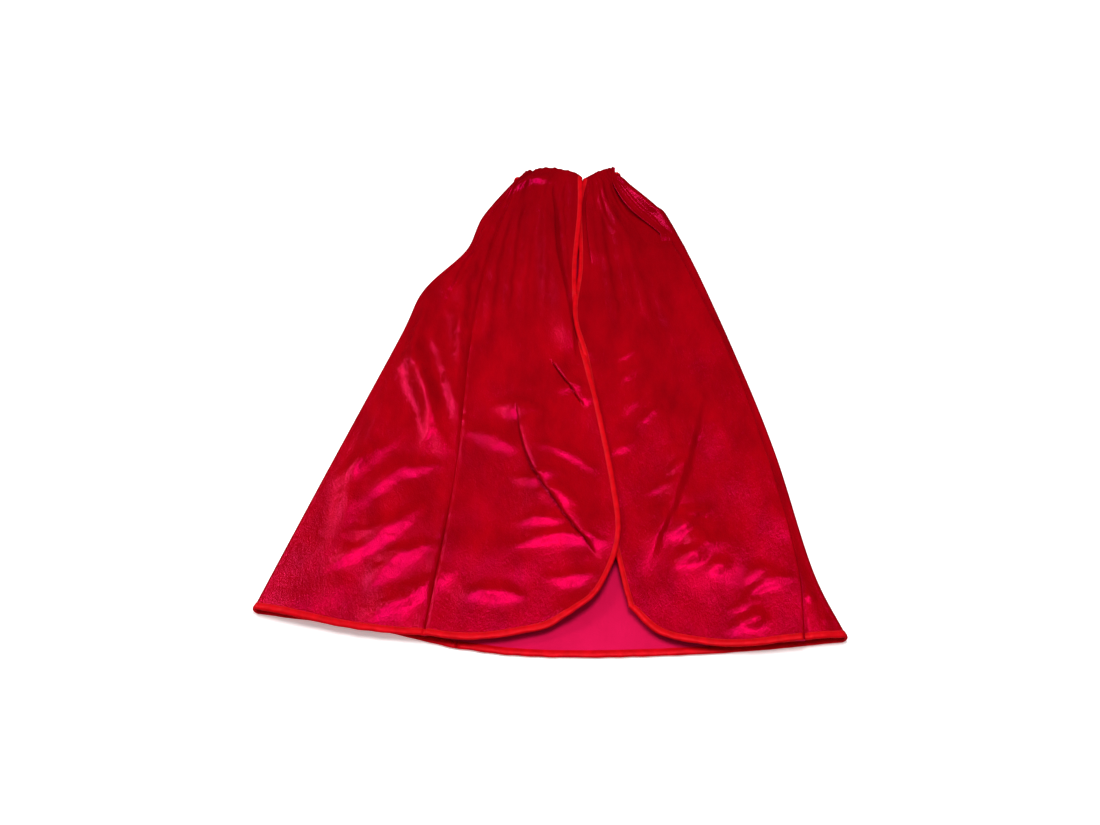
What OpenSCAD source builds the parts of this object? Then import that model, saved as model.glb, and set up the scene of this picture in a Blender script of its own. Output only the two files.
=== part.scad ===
// Child's superhero cape in red velvet with satin binding, laid flat with its front upward.
// Millimetres. Z is up and Y runs from the hem to the neck. The origin is on the surface that
// the cape lies on, in the middle of the box that the cape fills.

/* [Fabric] */
// Thickness of one layer of velvet, with its pile and its rumples
layer_t = 3; // [2:0.5:4]
// Height of the underside of the front layers above the surface
front_z = 9.5; // [9:0.5:12]
// Radius of the soft fold down each side
fold_r = 5.8; // [5:0.2:5.8]

/* [Trim] */
// Width of the satin binding
binding_w = 8; // [8:1:12]
// How far the binding stands above the fabric
binding_proud = 0.5; // [0.5:0.5:1]
// Height of the top of the front neck edge
neck_z = 30; // [28:1:32]
// Width of the overlocked allowance at each side seam
seam_w = 8; // [6:1:10]

/* [Closure] */
// Wire diameter of the neck hook and eye
wire_d = 1.2; // [1:0.1:1.4]
// Size of the hook and of the eye across the front edge
closure_l = 10; // [9:1:12]

/* [Gathers] */
// Number of gathers on each front
front_gathers = 4; // [3:1:5]
// Number of gathers across the back
back_gathers = 8; // [5:1:10]
// Radius of a front gather where it meets the neck binding
gather_r = 7; // [6:0.5:8]

/* [Hidden] */

// Height of the hinge line down each side: the middle of the soft fold.
fold_z = fold_r + 0.5;
// Clearance between the two front edges, which move apart.
clear = 1.2;
// How far the back panel stops inside each hinge line, clear of the fold.
back_inset = 5.5;
// Thickness of the band that gathers each front at the neck.
neck_band_t = 4;
// Thickness of the allowance at each side seam, and the stretch over which it runs.
seam_t = 1.5;
left_seam_top = 300;
right_seam_top = 300;
seam_end_y = -322;
// Gap between the two panels that meet at a seam.
seam_gap = 0.2;
// Half-size of a square that is larger than the cape.
beyond = 600;

// Hinge lines, from their upper end to their lower end.
left_axis = [[-157, 148], [-307, -312]];
right_axis = [[194, 168], [307, -350]];

// Points that the smooth outlines run through, from the neck down or from left to right.
left_shoulder = [[-5, 352], [-40, 345], [-85, 280], [-110, 230], [-150, 170]];
right_shoulder = [[85, 352], [105, 345], [145, 295], [175, 230], [188, 190]];
left_seam = [[-8, 356], [-40, 330], [-75, 215], [-95, 60], [-105, -130], [-130, -350]];
right_seam = [[92, 356], [105, 315], [150, 240], [185, 130], [215, 10], [260, -210],
              [285, -360]];
front_edge = [[44, 345], [38, 250], [30, 180], [35, 100], [50, 0], [65, -90], [70, -220]];
left_hem = [[65, -260], [45, -295], [10, -320], [-40, -345], [-100, -350], [-205, -337],
            [-299, -317]];
right_hem = [[75, -265], [90, -305], [115, -330], [160, -350], [230, -355], [299, -351]];
back_hem = [[-290, -318], [-190, -332], [-120, -350], [-40, -362], [50, -365], [160, -361],
            [290, -353]];
left_neck = [[-5, 364], [18, 358], [44, 345]];
right_neck = [[44 + clear, 345], [64, 356], [85, 364]];
back_neck = [[-34, 350], [0, 362], [40, 365], [80, 362], [106, 350]];

// Point at t on a smooth curve between p1 and p2, with p0 before and p3 after them.
function between(p0, p1, p2, p3, t) =
    (2 * p1 + (p2 - p0) * t + (2 * p0 - 5 * p1 + 4 * p2 - p3) * t * t
     + (3 * p1 - p0 - 3 * p2 + p3) * t * t * t) / 2;

// A smooth curve through every point of p, with n steps from each point to the next.
function smooth(p, n = 4) = [
    for (i = [0 : len(p) - 2]) for (k = [0 : n - 1])
        between(p[max(i - 1, 0)], p[i], p[i + 1], p[min(i + 2, len(p) - 1)], k / n),
    p[len(p) - 1]
];

function first(p) = p[0];
function last(p) = p[len(p) - 1];
function reversed(p) = [for (i = [len(p) - 1 : -1 : 0]) p[i]];
function unit(v) = v / norm(v);

// The curve p moved sideways by d: to the right of its direction when d is positive.
function beside(p, d) = [
    for (i = [0 : len(p) - 1])
        let (v = unit(p[min(i + 1, len(p) - 1)] - p[max(i - 1, 0)])) p[i] + d * [v[1], -v[0]]
];

// Point a share t of the way along the curve p, counted in points.
function along(p, t) =
    let (s = t * (len(p) - 1), i = min(floor(s), len(p) - 2)) p[i] + (s - i) * (p[i + 1] - p[i]);

// The side of a curve that runs down the cape: to = -1 for the left side, 1 for the right.
module beside_of(p, to) {
    polygon(concat([[first(p)[0], beyond]], p, [[last(p)[0], -beyond]],
                   [[to * beyond, -beyond], [to * beyond, beyond]]));
}

// The fabric inside a front edge that turns away into its hem: to = -1 for the left front.
module inside_of(p, to) {
    polygon(concat([[first(p)[0], beyond]], p,
                   [[to * beyond, last(p)[1]], [to * beyond, beyond]]));
}

// Everything above or below a curve that runs from left to right: to = 1 above, -1 below.
module across_of(p, to) {
    polygon(concat([[-beyond, first(p)[1]]], p, [[beyond, last(p)[1]]],
                   [[beyond, to * beyond], [-beyond, to * beyond]]));
}

// The whole course of each front binding, from the neck down to the apex and along the hem.
left_path = smooth(concat(front_edge, left_hem));
right_path = beside(smooth(concat(front_edge, right_hem)), -clear);

// A flat strip of height t from height z, between the curve p and the curve d beside it.
module strip(p, d, z, t) {
    translate([0, 0, z])
        linear_extrude(t)
            polygon(concat(p, reversed(beside(p, d))));
}

// A round rod between two points, with its own radius at each end.
module rod(a, b, r1, r2) {
    v = b - a;
    translate(a)
        rotate([0, acos(v[2] / norm(v)), atan2(v[1], v[0])])
            cylinder(h = norm(v), r1 = r1, r2 = r2, $fn = 24);
}

// The soft fold along a hinge line, with the fabric turning round it.
module fold(axis) {
    rod(concat(first(axis), [fold_z]), concat(last(axis), [fold_z]), fold_r, fold_r);
}

// Gathers that fan out from the curve top and die away at the curve bottom.
module gathers(top, bottom, count, r, z_top, z_bottom) {
    for (i = [0 : count - 1]) {
        t = (i + 0.5) / count;
        rod(concat(along(top, t), [z_top]), concat(along(bottom, t), [z_bottom]), r, 1.2);
    }
}

// The part of a front between two lines that run down the cape, inside its binding and neck
// band, from height z and of height t.
module front_part(left, right, bound, to, z, t) {
    neck = smooth(to < 0 ? left_neck : right_neck);
    translate([0, 0, z])
        linear_extrude(t)
            intersection() {
                beside_of(left, 1);
                beside_of(right, -1);
                inside_of(bound, to);
                across_of(beside(neck, neck_band_t), -1);
            }
}

// A front panel: one layer, with the gathers that rise from it to the neck band.
module front_panel(left, right, bound, to, spread) {
    front_part(left, right, bound, to, front_z, layer_t);
    intersection() {
        front_part(left, right, bound, to, front_z, neck_z - front_z);
        gathers(smooth(to < 0 ? left_neck : right_neck), spread, front_gathers, gather_r,
                neck_z - 3 - gather_r, front_z + layer_t / 2);
    }
}

// The band that gathers one front at the neck.
module front_neck_band(p) {
    band_z = front_z + layer_t + binding_proud;
    strip(p, neck_band_t, band_z, neck_z - band_z);
}

// A wire loop against the underside of a neck corner, with an eyelet on each leg to sew down:
// to = -1 for the left corner, whose loop points right.
module wire_loop(at, to) {
    bend_r = closure_l / 4;
    leg = closure_l - bend_r;
    translate([at[0], at[1], front_z - binding_proud - wire_d])
        linear_extrude(wire_d)
            mirror([to < 0 ? 1 : 0, 0])
                difference() {
                    union() {
                        circle(bend_r, $fn = 32);
                        translate([0, -bend_r]) square([leg, 2 * bend_r]);
                        for (k = [-1, 1]) translate([leg, k * bend_r]) circle(1.5 * wire_d, $fn = 24);
                    }
                    circle(bend_r - wire_d, $fn = 32);
                    translate([0, wire_d - bend_r]) square([closure_l, 2 * (bend_r - wire_d)]);
                    for (k = [-1, 1]) translate([leg, k * bend_r]) circle(wire_d / 2, $fn = 24);
                }
}

module back_panel() {
    ridge_r = layer_t - 0.6;
    neck = beside(smooth(back_neck), binding_w);
    color("firebrick") {
        linear_extrude(layer_t)
            intersection() {
                beside_of(concat(smooth(left_shoulder), beside(left_axis, -back_inset)), 1);
                beside_of(concat(smooth(right_shoulder), beside(right_axis, back_inset)), -1);
                across_of(neck, -1);
                across_of(beside(smooth(back_hem), -binding_w), 1);
            }
        gathers(beside(neck, 1.5), [[-70, 230], [140, 230]], back_gathers, ridge_r, ridge_r, 1.4);
    }
}

module back_neck_binding() {
    color("red") strip(smooth(back_neck), binding_w, 0, layer_t + 2 * binding_proud);
}

module back_hem_binding() {
    color("red") strip(smooth(back_hem), -binding_w, 0, layer_t + binding_proud);
}

// The part of the back panel that turns over the left side fold and lies on the front.
module left_side_wrap() {
    color("firebrick") {
        fold(left_axis);
        front_part(concat(smooth(left_shoulder), left_axis), smooth(left_seam),
                   beside(left_path, binding_w), -1, front_z, layer_t);
    }
}

module left_side_seam() {
    seam = [for (p = smooth(left_seam)) if (p[1] < left_seam_top && p[1] > seam_end_y) p];
    color("darkred") strip(seam, -seam_w, front_z - seam_t, seam_t);
}

module left_front_panel() {
    color("firebrick")
        front_panel(beside(smooth(left_seam), -seam_gap), smooth(front_edge),
                    beside(left_path, binding_w), -1, [[-60, 200], [20, 190]]);
}

module left_neck_binding() {
    color("red") front_neck_band(smooth(left_neck));
}

module left_front_binding() {
    color("red")
        strip(left_path, binding_w, front_z - binding_proud, layer_t + 2 * binding_proud);
}

module neck_hook() {
    color("silver") wire_loop([39, 332], -1);
}

// The part of the back panel that turns over the right side fold and lies on the front.
module right_side_wrap() {
    color("firebrick") {
        fold(right_axis);
        front_part(smooth(right_seam), concat(smooth(right_shoulder), right_axis),
                   beside(right_path, -binding_w), 1, front_z, layer_t);
    }
}

module right_side_seam() {
    seam = [for (p = smooth(right_seam)) if (p[1] < right_seam_top && p[1] > seam_end_y) p];
    color("darkred") strip(seam, seam_w, front_z - seam_t, seam_t);
}

module right_front_panel() {
    color("firebrick")
        front_panel(smooth(front_edge), beside(smooth(right_seam), seam_gap),
                    beside(right_path, -binding_w), 1, [[50, 185], [158, 205]]);
}

module right_neck_binding() {
    color("red") front_neck_band(smooth(right_neck));
}

module right_front_binding() {
    color("red")
        strip(right_path, -binding_w, front_z - binding_proud, layer_t + 2 * binding_proud);
}

module neck_eye() {
    color("silver") wire_loop([49, 332], 1);
}

back_panel();
back_neck_binding();
back_hem_binding();
left_side_wrap();
left_side_seam();
left_front_panel();
left_neck_binding();
left_front_binding();
neck_hook();
right_side_wrap();
right_side_seam();
right_front_panel();
right_neck_binding();
right_front_binding();
neck_eye();
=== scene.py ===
"""Child's red velvet superhero cape, laid flat: the looks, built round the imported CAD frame.

Plan positions are in millimetres, as in the CAD source, and become metres when a mesh is made.
X runs across the cape, Y from the hem to the neck, and Z up from the surface it lies on."""

import math

import bpy
import numpy as np
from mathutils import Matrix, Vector
from mathutils.bvhtree import BVHTree


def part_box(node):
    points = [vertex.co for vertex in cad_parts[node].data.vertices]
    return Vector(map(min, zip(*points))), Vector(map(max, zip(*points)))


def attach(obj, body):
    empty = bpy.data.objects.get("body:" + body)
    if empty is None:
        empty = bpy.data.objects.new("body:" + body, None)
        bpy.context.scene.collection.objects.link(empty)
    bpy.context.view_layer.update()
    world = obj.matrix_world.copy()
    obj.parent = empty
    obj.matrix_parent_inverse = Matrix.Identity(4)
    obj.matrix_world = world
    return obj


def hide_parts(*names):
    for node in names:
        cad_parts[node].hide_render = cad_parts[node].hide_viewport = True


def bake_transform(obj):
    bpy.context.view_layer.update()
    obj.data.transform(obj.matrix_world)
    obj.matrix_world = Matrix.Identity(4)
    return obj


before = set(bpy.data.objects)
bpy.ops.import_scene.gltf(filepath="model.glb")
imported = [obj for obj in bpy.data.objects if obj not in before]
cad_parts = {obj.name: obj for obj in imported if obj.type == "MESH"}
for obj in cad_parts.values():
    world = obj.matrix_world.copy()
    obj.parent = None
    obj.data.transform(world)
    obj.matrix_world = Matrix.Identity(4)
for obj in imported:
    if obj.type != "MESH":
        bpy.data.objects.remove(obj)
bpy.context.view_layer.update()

MM = 0.001

# ------------------------ camera, light and floor

AIM = Vector((0.002, -0.031, 0.0))
CAMERA_DISTANCE = 1.9
CAMERA_ELEVATION = math.radians(50)
LENS, SENSOR_WIDTH = 53, 36
GAMMA = 0.86

WHITE = (1.0, 1.0, 1.0, 1.0)
WORLD_STRENGTH = 0.45
# Each lamp's name, place, size and power; both point at the aim.
LAMPS = [
    ("overhead", (0.1, -0.1, 1.8), (1.0, 0.7), 26),
    ("window", (-1.4, 0.7, 1.4), (0.5, 0.5), 13),
]
FLOOR_SIZE = 60
FLOOR_COLOUR = (0.93, 0.93, 0.93, 1.0)
FLOOR_ROUGHNESS = 0.9
FLOOR_GLOW = 0.3


def placed(name, data):
    """A new object in the scene."""
    made = bpy.data.objects.new(name, data)
    bpy.context.scene.collection.objects.link(made)
    return made


def make_camera():
    data = bpy.data.cameras.new("camera")
    data.lens = LENS
    data.sensor_width = SENSOR_WIDTH
    camera = placed("camera", data)
    away = Vector((0, -math.cos(CAMERA_ELEVATION), math.sin(CAMERA_ELEVATION)))
    camera.location = AIM + CAMERA_DISTANCE * away
    camera.rotation_euler = (-away).to_track_quat("-Z", "Y").to_euler()
    bpy.context.scene.camera = camera


def area_light(name, place, size, power):
    data = bpy.data.lights.new(name, "AREA")
    data.shape = "RECTANGLE"
    data.size, data.size_y = size
    data.energy = power
    lamp = placed(name, data)
    lamp.location = place
    lamp.rotation_euler = (AIM - Vector(place)).to_track_quat("-Z", "Y").to_euler()


def make_light():
    world = bpy.data.worlds.new("studio")
    bpy.context.scene.world = world
    world.use_nodes = True
    background = world.node_tree.nodes["Background"]
    background.inputs["Color"].default_value = WHITE
    background.inputs["Strength"].default_value = WORLD_STRENGTH
    world.cycles_visibility.glossy = False
    for lamp in LAMPS:
        area_light(*lamp)


def make_floor():
    bpy.ops.mesh.primitive_plane_add(size=FLOOR_SIZE)
    floor = bpy.context.active_object
    floor.name = "floor"
    material = bpy.data.materials.new("floor_white")
    material.use_nodes = True
    shader = material.node_tree.nodes["Principled BSDF"]
    shader.inputs["Base Color"].default_value = FLOOR_COLOUR
    shader.inputs["Roughness"].default_value = FLOOR_ROUGHNESS
    shader.inputs["Emission Color"].default_value = WHITE
    shader.inputs["Emission Strength"].default_value = FLOOR_GLOW
    floor.data.materials.append(material)
    # kept out of reflections: at a low angle it turns the dark side of each fold white
    floor.visible_glossy = False


# ------------------------ curves and noise

CURVE_STEPS = 12
# Noise comes from a square table of random numbers; its origin lies this far into the table.
NOISE_TABLE = 256
NOISE_ORIGIN = 100


def curve(points, count):
    """count + 1 places at equal steps along a smooth curve through points, in plan."""
    p = np.array(points, float)
    ends = np.vstack([2 * p[0] - p[1], p, 2 * p[-1] - p[-2]])
    t = np.linspace(0, 1, CURVE_STEPS, endpoint=False)[:, None]
    fine = []
    for i in range(len(p) - 1):
        a, b, c, d = ends[i : i + 4]
        fine.append(
            (2 * b + (c - a) * t + (2 * a - 5 * b + 4 * c - d) * t**2
             + (3 * b - a - 3 * c + d) * t**3) / 2
        )
    fine = np.vstack(fine + [p[-1:]])
    return resample(fine, count)


def resample(line, count):
    """count + 1 places at equal steps along a polyline."""
    reach = reach_along(line)
    return read_off(line, reach, np.linspace(0, reach[-1], count + 1))


def reach_along(line):
    """How far along a polyline each of its points lies."""
    return np.concatenate([[0], np.cumsum(np.linalg.norm(np.diff(line, axis=0), axis=1))])


def read_off(values, reach, at):
    """Values known at the distances reach along a line, read off at other distances."""
    return np.stack([np.interp(at, reach, values[:, k]) for k in range(values.shape[1])], axis=1)


def unit(vectors):
    return vectors / np.linalg.norm(vectors, axis=-1, keepdims=True)


def right_of(run):
    """Unit plan vectors to the right of each direction in run."""
    return unit(np.stack([run[:, 1], -run[:, 0]], axis=1))


def patch(top, bottom, left, right):
    """Plan positions on a grid that fills the space between four curves (a Coons patch)."""
    v = np.linspace(0, 1, len(left))[:, None, None]
    u = np.linspace(0, 1, len(top))[None, :, None]
    ruled_v = (1 - v) * top[None] + v * bottom[None]
    ruled_u = (1 - u) * left[:, None] + u * right[:, None]
    corners = (
        (1 - u) * (1 - v) * top[0] + u * (1 - v) * top[-1]
        + (1 - u) * v * bottom[0] + u * v * bottom[-1]
    )
    return ruled_v + ruled_u - corners


def noise(x, y, scale, seed):
    """Smooth value noise from -1 to 1, with features about scale millimetres across."""
    table = np.random.default_rng(seed).uniform(-1, 1, (NOISE_TABLE, NOISE_TABLE))
    x, y = np.asarray(x) / scale + NOISE_ORIGIN, np.asarray(y) / scale + NOISE_ORIGIN
    i, j = np.floor(x).astype(int), np.floor(y).astype(int)
    fx, fy = x - i, y - j
    fx, fy = fx * fx * (3 - 2 * fx), fy * fy * (3 - 2 * fy)

    def value(a, b):
        return table[a % NOISE_TABLE, b % NOISE_TABLE]

    low = value(i, j) * (1 - fx) + value(i + 1, j) * fx
    high = value(i, j + 1) * (1 - fx) + value(i + 1, j + 1) * fx
    return low * (1 - fy) + high * fy


def layered(x, y, layers):
    """A sum of noises, each with its height, the size of its features and its seed."""
    return sum(height * noise(x, y, size, seed) for height, size, seed in layers)


def ease(t):
    t = np.clip(t, 0, 1)
    return t * t * (3 - 2 * t)


def distance_to(line, x, y):
    """Signed distance from each place to a polyline, positive on the left of its run, the share
    of the way along it, and the unit direction across it towards its left."""
    line = np.array(line, float)
    best = np.full(np.shape(x), 1e9)
    share = np.zeros(np.shape(x))
    across = np.zeros(np.shape(x) + (2,))
    steps = np.linalg.norm(np.diff(line, axis=0), axis=1)
    total, gone = steps.sum(), 0.0
    for (a, b), length in zip(zip(line[:-1], line[1:]), steps):
        d = (b - a) / length
        along = np.clip((x - a[0]) * d[0] + (y - a[1]) * d[1], 0, length)
        off_x, off_y = x - a[0] - along * d[0], y - a[1] - along * d[1]
        gap = np.hypot(off_x, off_y)
        nearer = gap < np.abs(best)
        left = off_x * -d[1] + off_y * d[0] > 0
        best = np.where(nearer, np.where(left, gap, -gap), best)
        share = np.where(nearer, (gone + along) / total, share)
        across[nearer] = (-d[1], d[0])
        gone += length
    return best, share, across


# ------------------------ outlines, close to the CAD's

LEFT_FOLD = [(-45, 355), (-85, 290), (-105, 230), (-155, 160), (-180, 80), (-255, -140),
             (-312, -310)]
RIGHT_FOLD = [(95, 360), (120, 330), (140, 305), (155, 285), (185, 200), (230, 30),
              (260, -105), (285, -260), (312, -345)]
LEFT_SEAM = [(-20, 365), (-45, 325), (-75, 220), (-95, 60), (-105, -130), (-130, -345)]
LEFT_EDGE = [(44, 345), (43, 290), (35, 180), (40, 80), (60, -40), (75, -150), (78, -225),
             (55, -290), (25, -320)]
LEFT_HEM = [(-130, -345), (-80, -350), (-10, -338), (25, -320)]
RIGHT_EDGE = [(45, 345), (38, 300), (38, 200), (30, 110), (45, 30), (60, -100), (70, -220),
              (85, -310)]
RIGHT_FLAP = [(85, 370), (85, 340), (105, 300), (150, 245), (185, 145), (230, -20),
              (265, -240), (265, -353)]
RIGHT_HEM = [(85, -310), (120, -345), (190, -358), (265, -353)]
LEFT_NECK = [(44, 345), (30, 360), (0, 370), (-20, 365)]
RIGHT_NECK = [(45, 345), (65, 360), (85, 370)]
# The back is two sheets that meet along this line, one for each side fold.
BACK_SPLIT = [(8, 358), (-20, 240), (-55, 0), (-82, -200), (-96, -354)]
# Points that the neck and hem edges of the wrap and the back pass through between corners.
LEFT_WRAP_NECK = [(-30, 362)]
LEFT_WRAP_HEM = [(-205, -336)]
LEFT_BACK_NECK = [(-24, 358)]
LEFT_BACK_HEM = [(-190, -330)]
RIGHT_BACK_NECK = [(76, 360), (40, 363)]
RIGHT_BACK_HEM = [(222, -356), (158, -361), (54, -365), (-30, -363)]


# ------------------------ folds in the cloth
# A fold: its line in plan, its height, and how far it spreads to the left and to the right
# of that line's run, all in millimetres. A negative height is a crease.

LEFT_FOLDS = [
    # the long soft ridge beside the seam
    ([(-70, 280), (-105, 160), (-110, -70)], 8, 9, 14),
    # folds that run out from the shoulder across the wrapped part of the back
    ([(-60, 300), (-110, 200), (-140, 110)], 5, 5, 18),
    ([(-150, 190), (-160, 50), (-110, -140)], 10, 13, 16),
    ([(-150, 120), (-95, -80)], 5, 12, 10),
    ([(-180, 90), (-245, -290)], 7, 22, 18),
    # the roll at the shoulder
    ([(-60, 320), (-25, 345), (15, 345)], 6, 16, 7),
    # pleats from the neck
    ([(-35, 370), (-65, 210), (-80, 20)], 6, 7, 10),
    ([(-30, 370), (-45, 220), (-55, 70)], 5, 6, 9),
    ([(15, 345), (25, 185), (36, 90)], 4.5, 4, 6),
    ([(-15, 370), (-30, 190), (-32, 70)], 4.5, 7, 9),
    ([(-4, 345), (-6, 90)], 4, 6, 8),
    ([(30, 360), (27, 210)], 3, 5, 5),
    ([(-75, 300), (-112, 170)], -3, 7, 7),
]
RIGHT_FOLDS = [
    ([(68, 375), (68, 240), (88, 60)], 5, 7, 8),
    ([(76, 350), (106, 90)], 4.5, 8, 9),
    ([(80, 330), (136, 50)], 4.5, 9, 12),
    ([(92, 300), (170, 20)], 4, 12, 14),
    ([(44, 340), (48, 140)], 2.5, 5, 6),
    # a long fold that runs out to the front corner
    ([(185, 10), (155, -120), (95, -290)], 9, 8, 19),
    ([(105, 80), (130, -60), (175, -240)], 3, 18, 22),
]

# Families of soft low rolls, where the cloth has slack to spare. A family has a seed, the number
# of rolls, the stretch of X and of Y that their middles are spread over, the way they run in
# degrees from +X, their length and their width. A roll's crest lies to the left of its line's run.
LEFT_FAMILIES = [
    # rising from the hem across the wrapped part of the back
    (101, 6, (-250, -140), (-310, -110), (16, 38), (90, 170), (7, 11)),
    # falling from the seam across the front
    (102, 10, (-75, 40), (-320, 0), (-34, 4), (60, 130), (6, 10)),
    # long ones under the shoulder, more nearly upright
    (103, 5, (-190, -115), (-40, 120), (-82, -62), (120, 200), (7, 11)),
]
RIGHT_FAMILIES = [
    # crowded where the corner of the front has slid up the surface
    (104, 13, (115, 245), (-340, -190), (15, 50), (35, 85), (5, 9)),
    # a few short ones beside the front edge
    (105, 7, (65, 160), (-180, 60), (25, 65), (35, 70), (4, 6)),
]
CORNER_FAMILIES = [
    (106, 3, (270, 298), (-335, -255), (10, 55), (16, 28), (4, 5)),
]


def lay_rolls(families):
    """The line and the width of each roll: their middles are spread evenly down the family's
    stretch of Y and at random across its stretch of X."""
    rolls = []
    for seed, count, over_x, over_y, turn, length, width in families:
        random = np.random.default_rng(seed)
        for k in range(count):
            x = random.uniform(*over_x)
            y = np.interp((k + random.uniform(0.2, 0.8)) / count, (0, 1), over_y)
            angle = math.radians(random.uniform(*turn))
            along = np.array([math.cos(angle), math.sin(angle)]) * random.uniform(*length) / 2
            bow = np.array([-along[1], along[0]]) * random.uniform(-0.3, 0.3)
            middle = np.array([x, y])
            rolls.append(([middle - along, middle + bow, middle + along],
                          random.uniform(*width)))
    return rolls


# A lap: a fold that falls over itself. Its line in plan, how much higher it is on the left of
# its run, how far that height spreads, and how far its edge hangs over.
LEFT_LAPS = [
    # the pleat beside the front edge
    ([(35, 30), (20, 145), (8, 230), (5, 345)], 9.5, 20, 4.2),
    # the long slanting lap low on the front
    ([(-40, -20), (-15, -130), (60, -255)], 8, 36, 4.0),
    ([(0, 45), (45, -40)], 5, 14, 3.0),
]
RIGHT_LAPS = [
    ([(55, 340), (50, 290), (55, 195)], 6.0, 12, 3.4),
]


FOLD_SCALE = 0.74
# Noise that makes a line wander: the height, the size of features and the seed of each layer.
FOLD_WANDER = [(1.6, 17, 3), (0.8, 7, 4)]

ROLL_WANDER = [(1.8, 15, 5), (1.0, 6, 6)]
ROLL_CURVE = 12
ROLL_SPREAD = 1.25
# A roll's width at its ends, and what its middle adds, as shares of its whole width.
ROLL_TIP, ROLL_SWELL = 0.55, 0.45
ROLL_CREST_OFF = 0.7
ROLL_HEIGHT = 0.42

LAP_CURVE = 40
LAP_EDGE = 2.6
LAP_STEEP = 0.6
LAP_GROOVE, LAP_GROOVE_W = 1.8, 4


def fading(share, rate):
    """1 along the middle of a line, and less towards its two ends; a high rate is a short end."""
    return ease(np.minimum(share, 1 - share) * rate)


def raise_folds(x, y, folds):
    z = np.zeros(np.shape(x))
    ragged = layered(x, y, FOLD_WANDER)
    for line, height, left, right in folds:
        gap, share, _ = distance_to(line, x, y)
        spread = FOLD_SCALE * np.where(gap > 0, left, right)
        z += FOLD_SCALE * height * np.exp(-(((gap + ragged) / spread) ** 2)) * fading(share, 3)
    return z


def raise_rolls(x, y, rolls):
    z = np.zeros(np.shape(x))
    ragged = layered(x, y, ROLL_WANDER)
    for line, width in rolls:
        gap, share, _ = distance_to(curve(line, ROLL_CURVE), x, y)
        width *= ROLL_SPREAD
        ends = fading(share, 2.2)
        narrow = ROLL_TIP + ROLL_SWELL * ends
        crest = (gap + ragged - ROLL_CREST_OFF * width * narrow) / (width * narrow)
        z += ROLL_HEIGHT * width * np.exp(-(crest**2)) * ends
    return z


def lap_over(grid, laps):
    """Folds a sheet over itself along each lap line: the high side hangs over the low one."""
    for line, height, spread, overhang in laps:
        gap, share, across = distance_to(curve(line, LAP_CURVE), grid[..., 0], grid[..., 1])
        ends = fading(share, 5)
        high = 0.5 + 0.5 * np.tanh(gap / (LAP_STEEP * LAP_EDGE))
        fall = np.exp(-((np.maximum(gap, 0) / spread) ** 2))
        groove = LAP_GROOVE * np.exp(-((gap / LAP_GROOVE_W) ** 2))
        grid[..., 2] += ends * (height * high * fall - groove)
        over = np.exp(-(((gap - LAP_EDGE) / LAP_EDGE) ** 2))
        under = np.exp(-(((gap + LAP_EDGE) / LAP_EDGE) ** 2))
        grid[..., :2] -= across * (overhang * ends * (over - under))[..., None]
    return grid


SWAY, SWAY_SIZE = 14, 70
CRUMPLE_BROAD, CRUMPLE_FINE, CRUMPLE_SMALL = 62, 26, 11


def crumple(x, y, seed):
    """The small soft unevenness that cloth has everywhere, stronger towards the hem."""
    sway_x = SWAY * noise(x, y, SWAY_SIZE, seed + 1)
    sway_y = SWAY * noise(x, y, SWAY_SIZE, seed + 2)
    broad = noise(x + sway_x, y + sway_y, CRUMPLE_BROAD, seed)
    fine = noise(x + sway_x, y * 0.8 + sway_y, CRUMPLE_FINE, seed + 3)
    small = noise(x, y * 0.7, CRUMPLE_SMALL, seed + 4)
    low = ease((300 - y) / 500)
    return (1.0 + 1.8 * low) * broad + (0.5 + 0.6 * low) * fine + 0.12 * small


NECK_X, NECK_HALF_W, NECK_Y = 40, 40, 350
NECK_LIFT, NECK_LIFT_REACH, NECK_LIFT_POWER = 13.0, 62, 1.4


def neck_rise(x, y):
    """How far the gathers lift the front above the rest near the neck."""
    reach = np.hypot(np.maximum(np.abs(x - NECK_X) - NECK_HALF_W, 0), NECK_Y - y)
    return NECK_LIFT * np.exp(-((reach / NECK_LIFT_REACH) ** NECK_LIFT_POWER))


def gathers(share, down, seed, count, height, reach):
    """Fine pleats that fan from the neck: share runs across the front, down is mm from it."""
    z = np.zeros(np.shape(share))
    random = np.random.default_rng(seed)
    for k in range(count):
        middle = (k + 0.5 + random.uniform(-0.3, 0.3)) / count
        wide = random.uniform(0.22, 0.34) / count
        far = reach * random.uniform(0.5, 1.4)
        drift = random.uniform(-0.06, 0.06)
        tall = height * random.uniform(0.6, 1.25)
        off = (share - middle - drift * down / 300) / wide
        z += tall * np.exp(-(off**2)) * np.exp(-down / far)
    return z * (1 - 0.92 * np.exp(-((down / 16) ** 2)))


# ------------------------ the sheets

# Rows down every sheet; columns across each, and across the two edges that turn under.
ROWS = 288
LEFT_WIDE, LEFT_WRAP_WIDE, LEFT_BACK_WIDE = 110, 92, 56
RIGHT_WIDE, RIGHT_WRAP_WIDE, RIGHT_BACK_WIDE = 132, 48, 92
LIP_STEPS = 7
TUCK_STEPS = 8
WRONG_SIDE = 1
THICK = 1.3
BACK_Z = 2.5
FRONT_Z = 12.4
FRONT_LOWEST = 11.2
# Columns in the turn of a fold: above the bend, through it, and below it.
FOLD_STEPS = (4, 9, 3)
BEND_FROM, BEND_TO = 5.1, 8.8
# The rolled neck edge: its rows, its radius, and how far its tail drops at each row.
ROLL_STEPS = 9
ROLL_RADIUS = 4.6
ROLL_TAIL = 2.5
# A place well inside the cape, which the inward side of a line faces.
MIDDLE = (0, 0)
# The fine pleats at the neck: their height, how far down they reach, and the line they start at.
GATHER_HEIGHT, GATHER_REACH, GATHER_Y = 3.4, 52, 352
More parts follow.
